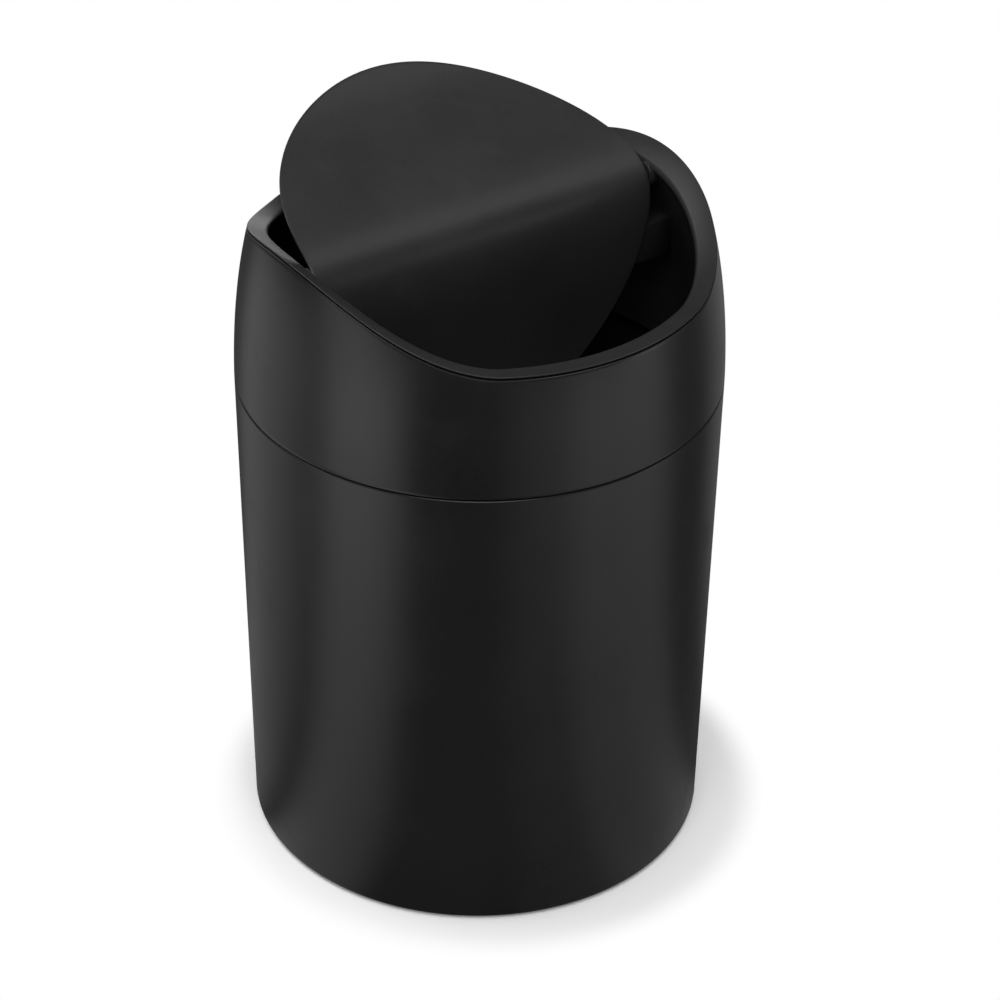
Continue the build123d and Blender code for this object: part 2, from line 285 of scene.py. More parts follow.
def makeFloor():
    half = backdrop["floorSide"] / 2
    corners = [(-half, -half, 0), (half, -half, 0), (half, half, 0), (-half, half, 0)]
    mesh = bpy.data.meshes.new("floor")
    mesh.from_pydata(corners, [], [(0, 1, 2, 3)])
    floor = bpy.data.objects.new("floor", mesh)
    bpy.context.collection.objects.link(floor)
    paper = bpy.data.materials.new("paper")
    paper.use_nodes = True
    tree = paper.node_tree
    tree.nodes.clear()
    rays = node(tree, "ShaderNodeLightPath").outputs
    direct = seenDirectly(tree, rays)
    diffuse = node(tree, "ShaderNodeBsdfDiffuse", ("Color", (backdrop["paper"],) * 3 + (1,)))
    glow = node(tree, "ShaderNodeEmission", ("Strength", direct * backdrop["floorGlow"]))
    shaded = node(tree, "ShaderNodeAddShader", (0, diffuse.outputs[0]), (1, glow.outputs[0]))
    bare = node(tree, "ShaderNodeEmission", ("Strength", backdrop["white"]))
    lit = mixed(tree, direct * outsideShadow(tree), shaded, bare)
    pools = node(tree, "ShaderNodeEmission", ("Strength", poolLight(tree) + backdrop["floorInGloss"]))
    seen = mixed(tree, rays["Is Glossy Ray"], lit, pools)
    node(tree, "ShaderNodeOutputMaterial", ("Surface", seen.outputs[0]))
    mesh.materials.append(paper)


makeCamera()
makeLamps()
makeWorld()
makeFloor()
print("camera, lamps and backdrop made")


finishes = {
    # shades and roughness run between two values; patch, grain and grainDepth are in mm
    "satinCoat": {
        "shades": (0.0070, 0.0092),
        "roughness": (0.28, 0.33),
        "specular": 0.35,
        "metallic": 0.0,
        "patch": 34.0,
        "grain": 0.9,
        "grainDepth": 0.012,
        "smudge": 0.05,
        "stretch": (1, 1, 1),
    },
    "flapCoatPaintedLight": {
        # shades lighter than the satin coat's: partly the flap's own greyer look, partly painted light on its
        # hanging half, which the lamps leave too dark
        "shades": (0.017, 0.022),
        "roughness": (0.36, 0.42),
        "specular": 0.35,
        "metallic": 0.0,
        "patch": 34.0,
        "grain": 0.9,
        "grainDepth": 0.012,
        "smudge": 0.05,
        "stretch": (1, 1, 1),
    },
    "moulding": {
        "shades": (0.011, 0.014),
        "roughness": (0.34, 0.40),
        "specular": 0.4,
        "metallic": 0.0,
        "patch": 22.0,
        "grain": 0.45,
        "grainDepth": 0.018,
        "smudge": 0.03,
        "stretch": (1, 1, 1),
    },
    "softGrip": {
        "shades": (0.010, 0.015),
        "roughness": (0.68, 0.80),
        "specular": 0.3,
        "metallic": 0.0,
        "patch": 9.0,
        "grain": 0.6,
        "grainDepth": 0.02,
        "smudge": 0.08,
        "stretch": (1, 1, 1),
    },
    "pinSteel": {
        "shades": (0.42, 0.56),
        "roughness": (0.24, 0.38),
        "specular": 0.5,
        "metallic": 1.0,
        "patch": 3.0,
        "grain": 0.12,
        "grainDepth": 0.006,
        "smudge": 0.08,
        "stretch": (1, 0.08, 0.08),      # turning marks run round the pin
    },
}
wear = {
    # what all the finishes share
    "patchDetail": 3.0,
    "grainDetail": 4.0,
    "grainShade": 0.08,              # of the shade, up and down
    "grainRoughness": 0.015,         # up and down
    "smudgeSize": 0.7,               # of a patch
    "smudgeDetail": 6.0,
    "smudgeDistortion": 1.2,
    "smudgeShade": 0.12,             # of the lighter shade
    "smudgeCover": (0.54, 0.72),     # noise at which a smudge starts and is full
    "cover": (0.3, 0.7),             # noise at the two ends of the other ranges
}


def makeFinish(name):
    look = finishes[name]
    material = bpy.data.materials.new(name)
    material.use_nodes = True
    tree = material.node_tree
    shader = tree.nodes["Principled BSDF"]
    shader.inputs["Metallic"].default_value = look["metallic"]
    shader.inputs["Specular IOR Level"].default_value = look["specular"]
    stretched = node(tree, "ShaderNodeMapping", ("Vector", objectCoords(tree)), ("Scale", look["stretch"]))

    def cloud(size, detail, distortion=0.0):
        # Noise with features of about this many millimetres
        made = node(
            tree,
            "ShaderNodeTexNoise",
            ("Vector", stretched.outputs["Vector"]),
            ("Scale", 1 / (size * mm)),
            ("Detail", detail),
            ("Distortion", distortion),
        )
        return made.outputs["Fac"]

    def spread(noise, low, high):
        return ramp(tree, noise, *wear["cover"], low, high)

    patches = cloud(look["patch"], wear["patchDetail"])
    grain = cloud(look["grain"], wear["grainDetail"])
    blots = cloud(look["patch"] * wear["smudgeSize"], wear["smudgeDetail"], wear["smudgeDistortion"])
    smudges = ramp(tree, blots, *wear["smudgeCover"])
    dark, light = look["shades"]
    speckle = spread(grain, 1 - wear["grainShade"], 1 + wear["grainShade"])
    shade = spread(patches, dark, light) * speckle + smudges * (light * wear["smudgeShade"])
    tree.links.new(shade.socket, shader.inputs["Base Color"])
    glossy, dull = look["roughness"]
    speckle = spread(grain, -wear["grainRoughness"], wear["grainRoughness"])
    rough = spread(patches, glossy, dull) + speckle + smudges * look["smudge"]
    tree.links.new(rough.socket, shader.inputs["Roughness"])
    depth = look["grainDepth"] * mm
    bump = node(tree, "ShaderNodeBump", ("Height", grain), ("Strength", 1.0), ("Distance", depth))
    tree.links.new(bump.outputs["Normal"], shader.inputs["Normal"])
    return material


satinCoat, flapCoatPaintedLight, moulding, softGrip, pinSteel = (makeFinish(name) for name in finishes)
print("finishes made")


def startTree(name, sizes):
    # A node tree with one named input for each size, a finish to give, and the mesh as its output
    tree = bpy.data.node_groups.new(name, "GeometryNodeTree")
    tree.interface.new_socket("Mesh", in_out="OUTPUT", socket_type="NodeSocketGeometry")
    tree.interface.new_socket("Finish", in_out="INPUT", socket_type="NodeSocketMaterial")
    for label, value in sizes.items():
        kind = "NodeSocketInt" if isinstance(value, int) else "NodeSocketFloat"
        tree.interface.new_socket(label, in_out="INPUT", socket_type=kind)
    start = tree.nodes.new("NodeGroupInput")
    return tree, {label: Field(tree, start.outputs[label]) for label in sizes}


def endTree(tree, geometry):
    start = next(n for n in tree.nodes if n.bl_idname == "NodeGroupInput")
    real = node(tree, "GeometryNodeRealizeInstances", ("Geometry", geometry))
    finished = node(
        tree,
        "GeometryNodeSetMaterial",
        ("Geometry", real.outputs[0]),
        ("Material", start.outputs["Finish"]),
    )
    end = tree.nodes.new("NodeGroupOutput")
    tree.links.new(finished.outputs[0], end.inputs[0])


def gridOf(tree, width, depth, columns, rows):
    grid = node(
        tree,
        "GeometryNodeMeshGrid",
        ("Size X", width),
        ("Size Y", depth),
        ("Vertices X", columns),
        ("Vertices Y", rows),
    )
    return grid.outputs["Mesh"]


def gridSpot(tree):
    # The two places on the grid of the point at hand
    spot = node(tree, "ShaderNodeSeparateXYZ", ("Vector", node(tree, "GeometryNodeInputPosition").outputs[0]))
    return Field(tree, spot.outputs["X"]), Field(tree, spot.outputs["Y"])


def movedTo(tree, geometry, x, y, z):
    # Every point of the geometry taken to a place in millimetres
    point = node(tree, "ShaderNodeCombineXYZ", ("X", x * mm), ("Y", y * mm), ("Z", z * mm))
    moved = node(tree, "GeometryNodeSetPosition", ("Geometry", geometry), ("Position", point.outputs[0]))
    return moved.outputs[0]


def instancesOn(tree, points, thing):
    return node(tree, "GeometryNodeInstanceOnPoints", ("Points", points), ("Instance", thing)).outputs[0]


def transformed(tree, geometry, **change):
    # Moves or turns the geometry: translation in metres, rotation in radians
    inputs = [(name.title(), value) for name, value in change.items()]
    return node(tree, "GeometryNodeTransform", ("Geometry", geometry), *inputs).outputs[0]


def place(thing):
    bpy.context.collection.objects.link(thing)
    return thing


def placeMesh(name, shape, finish):
    # An object from a bmesh, which is freed
    mesh = bpy.data.meshes.new(name)
    shape.to_mesh(mesh)
    shape.free()
    mesh.materials.append(finish)
    return place(bpy.data.objects.new(name, mesh))


def baked(thing):
    # The object with its modifiers worked out and gone
    depsgraph = bpy.context.evaluated_depsgraph_get()
    mesh = bpy.data.meshes.new_from_object(thing.evaluated_get(depsgraph), depsgraph=depsgraph)
    old = thing.data
    thing.modifiers.clear()
    thing.data = mesh
    bpy.data.meshes.remove(old)
    mesh.name = thing.name
    return thing


def grow(name, tree, sizes, finish):
    # An object whose mesh is what the tree makes of these sizes
    thing = place(bpy.data.objects.new(name, bpy.data.meshes.new(name)))
    modifier = thing.modifiers.new("nodes", "NODES")
    modifier.node_group = tree
    for item in tree.interface.items_tree:
        if item.in_out == "INPUT":
            modifier[item.identifier] = finish if item.name == "Finish" else sizes[item.name]
    grown = baked(thing).data
    grown.materials.clear()      # the tree leaves an empty slot in front of its finish
    grown.materials.append(finish)
    grown.polygons.foreach_set("material_index", [0] * len(grown.polygons))
    return thing


def cleaned(thing, middle=None):
    # Doubles merged and faces turned outwards, for an open sheet by the middle that it goes round
    shape = bmesh.new()
    shape.from_mesh(thing.data)
    bmesh.ops.remove_doubles(shape, verts=shape.verts, dist=mergeDistance)
    bmesh.ops.dissolve_degenerate(shape, dist=mergeDistance, edges=shape.edges)
    bmesh.ops.recalc_face_normals(shape, faces=shape.faces)
    if middle is not None:
        facing = 0.0
        for face in shape.faces:
            facing += face.normal.dot(face.calc_center_median() - middle) * face.calc_area()
        if facing < 0:
            bmesh.ops.reverse_faces(shape, faces=shape.faces)
    shape.to_mesh(thing.data)
    shape.free()
    return thing


def smooth(thing):
    thing.data.shade_smooth()
    thing.data.set_sharp_from_angle(angle=creaseAngle)
    return thing


def rounded(thing, edgeRounding):
    edge = thing.modifiers.new("edges", "BEVEL")
    edge.width = edgeRounding * mm
    edge.segments = edgeSegments
    edge.limit_method = "ANGLE"
    edge.angle_limit = creaseAngle
    edge.harden_normals = True
    return smooth(baked(thing))


def thickened(thing, thickness, edgeRounding, offset=-1):
    # Wall of even thickness with rounded edges; offset -1 puts it behind the sheet, 0 to both sides
    wall = thing.modifiers.new("wall", "SOLIDIFY")
    wall.thickness = thickness * mm
    wall.offset = offset
    wall.use_even_offset = True
    wall.use_quality_normals = True
    return rounded(thing, edgeRounding)


def joined(name, parts):
    # One object from several, each a closed form
    shape = bmesh.new()
    for part in parts:
        shape.from_mesh(part.data)
    finish = parts[0].data.materials[0]
    for part in parts:
        old = part.data
        bpy.data.objects.remove(part)
        bpy.data.meshes.remove(old)
    return smooth(placeMesh(name, shape, finish))


def eased(outline, roundings, steps=4):
    # Closed (radius, height) outline with corners rounded: their numbers and radii are listed
    points = []
    count = len(outline)
    for number, corner in enumerate(outline):
        rounding = roundings.get(number, 0)
        corner = Vector(corner)
        if not rounding:
            points.append(tuple(corner))
            continue
        back = (Vector(outline[number - 1]) - corner).normalized()
        ahead = (Vector(outline[(number + 1) % count]) - corner).normalized()
        half = back.angle(ahead) / 2
        reach = rounding / math.tan(half)
        middle = corner + (back + ahead).normalized() * rounding / math.sin(half)
        start, end = corner + back * reach - middle, corner + ahead * reach - middle
        sweep = start.angle_signed(end)
        for step in range(steps + 1):
            turn = Matrix.Rotation(-sweep * step / steps, 2)
            points.append(tuple(middle + turn @ start))
    return points


def turned(name, outlineAt, finish, steps=turnSteps):
    # Ring of a closed (radius, height) outline, which may change with the angle
    mesh = bpy.data.meshes.new(name)
    vertices, faces = [], []
    for step in range(steps):
        angle = 2 * math.pi * step / steps
        outline = outlineAt(angle)
        vertices += [(r * math.cos(angle) * mm, r * math.sin(angle) * mm, z * mm) for r, z in outline]
    count = len(outline)
    for step in range(steps):
        for point in range(count):
            here, along = step * count, (step + 1) % steps * count
            after = (point + 1) % count
            faces.append((here + point, along + point, along + after, here + after))
    mesh.from_pydata(vertices, [], faces)
    mesh.materials.append(finish)
    thing = place(bpy.data.objects.new(name, mesh))
    return smooth(cleaned(thing))


def settled(follow, value, rounds=4):
    # A height and a radius that depend on each other, worked out in turns until they keep still
    for _ in range(rounds):
        value = follow(value)
    return value


def lean(radius, inset, rise, height):
    # Radius of an elliptical wall, plumb at the seam and leaning in above it
    return radius - inset * (1 - (1 - ((height - seamHeight) / rise) ** 2) ** 0.5)


lidShape = {
    # mm
    "shoulderInset": 18.34,
    "shoulderRise": 67.0,
    "rimRiseHigh": 52.9,     # over the pivots
    "rimRiseLow": 36.6,      # front and back
    "rimFlat": 9.0,          # level stretch of the rim, front and back
    "rimFullness": 1.6,      # power of the rim's wave, no length
    "landTilt": 0.63,        # fall of the lip's top face over the pivots, no length
    "lipCover": 0.5,         # lip's edge over the skin
    "reveal": 0.5,           # dark gap under that edge
    "linerDepth": 3.8,       # from the seam's radius in to the lid's bore
    "linerInset": 27.0,      # the bore's own lean, as the shoulder's
    "linerRise": 65.0,
    "sheet": 0.8,
    "edgeRounding": 0.22,
    "upSteps": 40,           # squares from the seam to the rim
}
seamRadius = -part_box("lid_skin")[0][1] / mm
rimHigh = seamHeight + lidShape["rimRiseHigh"]
rimLow = seamHeight + lidShape["rimRiseLow"]
rimRadiusHigh = lean(seamRadius, lidShape["shoulderInset"], lidShape["shoulderRise"], rimHigh)
rimRadiusLow = lean(seamRadius, lidShape["shoulderInset"], lidShape["shoulderRise"], rimLow)
linerRadius = seamRadius - lidShape["linerDepth"]


def makeLidSkin(finish):
    sizes = {
        "Seam Radius": seamRadius,
        "Seam Height": seamHeight,
        "Bottom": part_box("lid_skin")[0][2] / mm,
        "Shoulder Inset": lidShape["shoulderInset"],
        "Shoulder Rise": lidShape["shoulderRise"],
        "Rim High": rimHigh,
        "Rim Low": rimLow,
        "Rim Radius High": rimRadiusHigh,
        "Rim Radius Low": rimRadiusLow,
        "Rim Half Span": rimRadiusLow - lidShape["rimFlat"],
        "Rim Fullness": lidShape["rimFullness"],
        "Land Tilt": lidShape["landTilt"],
        "Below Land": lidShape["lipCover"] + lidShape["reveal"],
        "Round Steps": turnSteps + 1,
        "Up Steps": lidShape["upSteps"] + 1,
    }
    tree, size = startTree("saddle rimmed band", sizes)
    grid = gridOf(tree, 1.0, 1.0, size["Round Steps"], size["Up Steps"])
    spotX, spotY = gridSpot(tree)
    angle = (spotX + 0.5) * (2 * math.pi)
    up = spotY + 0.5
    sine, cosine = angle.join("SINE"), angle.join("COSINE")
    rimRadius = size["Rim Radius High"] * cosine * cosine + size["Rim Radius Low"] * sine * sine
    across = rimRadius * sine / size["Rim Half Span"]
    closeness = (1 - across * across).join("MAXIMUM", 0.0)
    rim = size["Rim Low"] + (size["Rim High"] - size["Rim Low"]) * closeness ** size["Rim Fullness"]

    def shoulder(height):
        rise = (height - size["Seam Height"]) / size["Shoulder Rise"]
        return size["Seam Radius"] - size["Shoulder Inset"] * (1 - (1 - rise * rise).join("SQRT"))

    tilt = size["Land Tilt"] * cosine * cosine * cosine * cosine
    edge = rim - size["Below Land"]
    top = settled(lambda height: edge + tilt * (shoulder(height) - rimRadius), edge, 2)
    height = size["Bottom"] + up * (top - size["Bottom"])
    radius = shoulder(height)
    endTree(tree, movedTo(tree, grid, radius * cosine, radius * sine, height))
    skin = cleaned(grow("lidSkin", tree, sizes, finish), Vector((0, 0, seamHeight * mm)))
    return thickened(skin, lidShape["sheet"], lidShape["edgeRounding"])


def landHeight(angle, radius):
    # Top face of the lip
    rimRadius = rimRadiusHigh * math.cos(angle) ** 2 + rimRadiusLow * math.sin(angle) ** 2
    across = rimRadius * math.sin(angle) / (rimRadiusLow - lidShape["rimFlat"])
    closeness = max(0.0, 1 - across**2)
    rim = rimLow + (rimHigh - rimLow) * closeness ** lidShape["rimFullness"]
    return rim - lidShape["landTilt"] * math.cos(angle) ** 4 * (rimRadius - radius)


def boreRadius(height, wall=0.0):
    # Radius of the lid's bore, or of the outside of a wall round it
    return lean(linerRadius + wall, lidShape["linerInset"] + wall, lidShape["linerRise"] + wall, height)


linerShape = {
    # mm
    "wall": 1.8,
    "flange": 1.8,
    "flangeEase": 0.05,      # between the flange and the skin
    "lip": 3.0,
    "lipRounding": 1.2,
    "lipSteps": 6,
    "shadowGap": 0.6,        # between the lip and the skin
    "gapSteps": 8,
    "coverEdge": 0.2,
    "skirtWall": 1.6,
    "skirtChamfer": 0.8,
    "gripFromEnd": 3.0,
    "gripHeight": 4.2,
    "gripDepth": 0.8,
    "boreSteps": 24,         # points up the bore, and as many up the wall behind it
    "stopWidth": 8.0,
    "stopTop": 14.0,         # below the pivots
    "stopHeight": 12.0,
    "stopOverlap": 6.4,      # reach under the end of the flap
    "stopBite": 0.6,         # reach into the wall
    "stopRounding": 0.5,
    "bossRadius": 3.6,
    "bossDepth": 2.6,
    "bossBack": 0.5,         # behind the face of the bush
    "bossEdge": 0.3,
}
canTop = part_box("can_wall")[1][2] / mm
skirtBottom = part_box("rim_liner")[0][2] / mm
skirtRadius = linerRadius + linerShape["skirtWall"]


def linerOutline(angle):
    # Closed (radius, height) section of the liner, from the foot of its skirt outwards and up
    chamfer = linerShape["skirtChamfer"]
    gripLow = skirtBottom + linerShape["gripFromEnd"]
    gripHigh = gripLow + linerShape["gripHeight"]
    gripRadius = skirtRadius - linerShape["gripDepth"]
    flangeRadius = seamRadius - lidShape["sheet"] - linerShape["flangeEase"]
    flangeTop = canTop + linerShape["flange"]
    lipUnder = rimLow - linerShape["lip"]
    outline = [
        (linerRadius, skirtBottom),
        (skirtRadius - chamfer, skirtBottom),
        (skirtRadius, skirtBottom + chamfer),
        (skirtRadius, gripLow),
        (gripRadius, gripLow),
        (gripRadius, gripHigh),
        (skirtRadius, gripHigh),
        (skirtRadius, canTop),
        (flangeRadius, canTop),
        (flangeRadius, flangeTop),
    ]
    steps = linerShape["boreSteps"]
    for step in range(steps + 1):
        height = flangeTop + (lipUnder - flangeTop) * step / steps
        outline.append((boreRadius(height, linerShape["wall"]), height))

    def wallAndTop(inset, below):
        # Wall of the lid moved inwards, and where it meets the lip's top face moved down
        def wall(height):
            shoulder = (lidShape["shoulderInset"] - inset, lidShape["shoulderRise"] - inset)
            return lean(seamRadius - inset, *shoulder, height)

        start = landHeight(angle, rimRadiusHigh) - below
        return wall, settled(lambda height: landHeight(angle, wall(height)) - below, start)

    wall, top = wallAndTop(lidShape["sheet"] + linerShape["shadowGap"], lidShape["lipCover"])
    for step in range(linerShape["gapSteps"] + 1):
        height = lipUnder + (top - lipUnder) * step / linerShape["gapSteps"]
        outline.append((wall(height), height))
    for below in (lidShape["lipCover"], 0):
        wall, top = wallAndTop(0, below)
        outline.append((wall(top), top))
    cover = len(outline) - 1
    lip = settled(lambda radius: boreRadius(landHeight(angle, radius)), rimRadiusHigh)
    rounding = linerShape["lipRounding"]
    for step in range(linerShape["lipSteps"] + 1):
        turn = math.pi / 2 * step / linerShape["lipSteps"]
        radius = lip + rounding * (1 - math.sin(turn))
        outline.append((radius, landHeight(angle, radius) - rounding * (1 - math.cos(turn))))
    top = outline[-1][1]
    for step in range(1, steps):
        height = top + (seamHeight - top) * step / steps
        outline.append((max(boreRadius(height), outline[-1][0]), height))
    outline.append((linerRadius, seamHeight))
    return eased(outline, {cover - 1: linerShape["coverEdge"], cover: linerShape["coverEdge"]})


def block(name, low, high, finish, rounding):
    # Box with rounded edges
    shape = bmesh.new()
    bmesh.ops.create_cube(shape, size=1)
    for vertex in shape.verts:
        for axis in range(3):
            vertex.co[axis] = (low[axis] if vertex.co[axis] < 0 else high[axis]) * mm
    return rounded(placeMesh(name, shape, finish), rounding)


def alongPivot(name, outline, finish, side):
    # A turned piece laid along the flap's axis: its outline is (radius, distance from the middle)
    piece = turned(name, lambda angle: outline, finish, pivotSteps)
    lift = Matrix.Translation((0, 0, pivotHeight * mm))
    piece.data.transform(lift @ Matrix.Rotation(math.radians(90 * side), 4, "Y"))
    return piece


def makeRimLiner(finish):
    parts = [turned("rimLiner", linerOutline, finish)]
    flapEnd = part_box("flap_panel")[1][0] / mm
    stopTop = pivotHeight - linerShape["stopTop"]
    stopLow = stopTop - linerShape["stopHeight"]
    half = linerShape["stopWidth"] / 2
    ease = linerShape["stopRounding"]
    radius, edge = linerShape["bossRadius"], linerShape["bossEdge"]
    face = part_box("pivot_bush_right")[0][0] / mm + linerShape["bossBack"]
    back = face + linerShape["bossDepth"]
    boss = [(0, face), (radius - edge, face), (radius, face + edge), (radius, back), (0, back)]
    for side in (-1, 1):
        ends = (flapEnd - linerShape["stopOverlap"], boreRadius(stopTop) + linerShape["stopBite"])
        start, end = sorted(side * x for x in ends)
        stop = block("stop", (start, -half, stopLow), (end, half, stopTop), finish, ease)
        parts += [stop, alongPivot("boss", boss, finish, side)]
    return joined("rimLiner", parts)


flapShape = {
    # mm
    "crest": 2.2,            # above the pivot axis
    "drop": 32.0,            # from the crest to the edges
    "crestHandle": 12.0,     # how far the curve keeps level at the crest
    "edgeHandle": 21.5,      # how far it keeps its slope at an edge
    "edgeSlope": 0.3,        # that slope, no length
    "edgeClearance": 4.41,   # between the swinging edge and the bore
    "endClearance": 2.56,    # between each end and the bore
    "sheet": 0.8,
    "sheetEdge": 0.2,
    "frameDrop": 0.82,       # frame's top face below the sheet's
    "frameWall": 1.2,
    "frameInset": 0.8,
    "frameEdge": 0.3,
    "steps": 96,             # squares across the sheet each way
    "ribCount": 4,
    "ribSpacing": 22.0,
    "ribThickness": 1.2,
    "ribDepth": 2.5,
    "ribEdge": 0.2,
    "ribReach": 0.93,        # share of the flap's depth
    "ribSteps": 90,
    "spineRadius": 3.4,
    "spineSteps": 24,
}
swingRadius = linerRadius - flapShape["edgeClearance"]
edgeHeight = flapShape["crest"] - flapShape["drop"]
flapHalfDepth = (swingRadius**2 - edgeHeight**2) ** 0.5
flapHalfWidth = boreRadius(pivotHeight) - flapShape["endClearance"]


def wavePoint(along):
    # Point of the level flap's section, from the crest (0) to an edge (1), measured from the pivot axis
    near = 1 - along
    handle = flapShape["edgeHandle"]
    points = (
        (0.0, flapShape["crest"]),
        (flapShape["crestHandle"], flapShape["crest"]),
        (flapHalfDepth - handle, edgeHeight + flapShape["edgeSlope"] * handle),
        (flapHalfDepth, edgeHeight),
    )
    weights = (near * near * near, 3 * near * near * along, 3 * near * along * along, along * along * along)
    return tuple(sum(weight * point[axis] for weight, point in zip(weights, points)) for axis in (0, 1))


def edgeAlong(radius):
    # How far along its section the sheet meets a circle about the pivot axis
    low, high = 0.5, 1.0
    for _ in range(40):      # each round halves what is left
        middle = (low + high) / 2
        if math.hypot(*wavePoint(middle)) < radius:
            low = middle
        else:
            high = middle
    return low


def waveField(along):
    # The same point for a field that runs from -1 at the front edge to 1 at the back edge
    depth, height = wavePoint(along.join("ABSOLUTE"))
    return depth * along.join("SIGN"), height


def placeOnPivot(tree, geometry):
    # Turns the level flap to where it stands and lifts it to the pivots
    turn, lift = (math.radians(openTurn), 0, 0), (0, 0, pivotHeight * mm)
    return transformed(tree, geometry, rotation=turn, translation=lift)


def flapSheet(name, inset, below, finish):
    sizes = {
        "Half Width": flapHalfWidth - inset,
        "Swing Radius": swingRadius - inset,
        "Edge": edgeAlong(swingRadius - inset),
        "Below": below,
        "Steps": flapShape["steps"] + 1,
    }
    tree, size = startTree(name, sizes)
    grid = gridOf(tree, 2.0, 2.0, size["Steps"], size["Steps"])
    sideways, lengthways = gridSpot(tree)
    # The square grid is drawn in to a disc, so that no row shrinks to a point
    across = sideways * (1 - lengthways * lengthways * 0.5).join("SQRT")
    up = lengthways * (1 - sideways * sideways * 0.5).join("SQRT")
    depth, height = waveField(up * size["Edge"])
    reach = (depth * depth + height * height) / (size["Swing Radius"] * size["Swing Radius"])
    discWidth = (1 - up * up).join("MAXIMUM", 1e-9)      # kept off zero at the two edges
    rowWidth = (1 - reach).join("MAXIMUM", 0.0) / discWidth
    width = size["Half Width"] * rowWidth.join("SQRT") * across
    sheet = movedTo(tree, grid, width, depth, height)
    facing = node(tree, "GeometryNodeInputNormal").outputs[0]
    fall = size["Below"] * -mm
    down = node(tree, "ShaderNodeVectorMath", (0, facing), ("Scale", fall), operation="SCALE")
    sunk = node(tree, "GeometryNodeSetPosition", ("Geometry", sheet), ("Offset", down.outputs[0]))
    endTree(tree, placeOnPivot(tree, sunk.outputs[0]))
    return cleaned(grow(name, tree, sizes, finish))


def makeFlapPanel(finish):
    panel = flapSheet("flapPanel", 0.0, 0.0, finish)
    return thickened(panel, flapShape["sheet"], flapShape["sheetEdge"])


def makeRibs(finish):
    sizes = {
        "Count": flapShape["ribCount"],
        "Spacing": flapShape["ribSpacing"],
        "Top": flapShape["frameDrop"] + flapShape["frameWall"] / 2,
        "Depth": flapShape["frameWall"] / 2 + flapShape["ribDepth"],
        "Half Width": flapHalfWidth,
        "Reach": flapShape["ribReach"],
        "Rows": flapShape["ribSteps"] + 1,
    }
    tree, size = startTree("flap ribs", sizes)
    spots = node(tree, "GeometryNodeMeshLine", ("Count", size["Count"]), ("Offset", (0, 0, 0)))
    numbered = node(
        tree,
        "GeometryNodeStoreNamedAttribute",
        ("Geometry", spots.outputs[0]),
        ("Name", "rib"),
        ("Value", node(tree, "GeometryNodeInputIndex").outputs[0]),
    )
    ribs = instancesOn(tree, numbered.outputs[0], gridOf(tree, 2.0, 1.0, size["Rows"], 2))
    real = node(tree, "GeometryNodeRealizeInstances", ("Geometry", ribs))
    lengthways, downwards = gridSpot(tree)
    which = Field(tree, node(tree, "GeometryNodeInputNamedAttribute", ("Name", "rib")).outputs["Attribute"])
    across = (which - (size["Count"] - 1) * 0.5) * size["Spacing"]
    share = across / size["Half Width"]
    along = lengthways * ((1 - share * share).join("SQRT") * size["Reach"])
    depth, height = waveField(along)
    nextDepth, nextHeight = waveField(along + 0.01)      # a little further on, for the slope
    run, climb = nextDepth - depth, nextHeight - height
    length = (run * run + climb * climb).join("SQRT")
    below = size["Top"] + size["Depth"] * (downwards + 0.5)
    outwards, upwards = depth + below * climb / length, height - below * run / length
    moved = movedTo(tree, real.outputs[0], across, outwards, upwards)
    endTree(tree, placeOnPivot(tree, moved))
    ribs = cleaned(grow("flapRibs", tree, sizes, finish))
    return thickened(ribs, flapShape["ribThickness"], flapShape["ribEdge"], offset=0)


def makeSpine(finish):
    # Half-round bar under the crest that carries the pins
    half = flapHalfWidth - flapShape["frameInset"]
    radius, steps = flapShape["spineRadius"] * mm, flapShape["spineSteps"]
    angles = [math.pi * (1 + step / steps) for step in range(steps + 1)]
    section = [(radius * math.cos(angle), radius * math.sin(angle)) for angle in angles]
    shape = bmesh.new()
    ends = [[shape.verts.new((x * mm, y, z)) for y, z in section] for x in (-half, half)]
    for end in ends:
        shape.faces.new(end)
    for number in range(len(section)):
        after = (number + 1) % len(section)
        shape.faces.new((ends[0][number], ends[0][after], ends[1][after], ends[1][number]))
    bmesh.ops.recalc_face_normals(shape, faces=shape.faces)
    lift = Matrix.Translation((0, 0, pivotHeight * mm))
    shape.transform(lift @ Matrix.Rotation(math.radians(openTurn), 4, "X"))
    return rounded(placeMesh("spine", shape, finish), flapShape["frameEdge"])


def makeFlapFrame(finish):
    under = flapSheet("flapFrame", flapShape["frameInset"], flapShape["frameDrop"], finish)
    under = thickened(under, flapShape["frameWall"], flapShape["frameEdge"])
    return joined("flapFrame", [under, makeRibs(finish), makeSpine(finish)])


pivotShape = {"pinEase": 0.25, "bore": 1.3, "bushRadius": 2.5, "bushFlange": 0.5, "bushEdge": 0.15}      # mm


def radiusAndEnds(name):
    # Radius of a round piece on the flap's axis, and where it starts and ends along it
    low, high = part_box(name)
    return (high[1] - low[1]) / 2 / mm, low[0] / mm, high[0] / mm


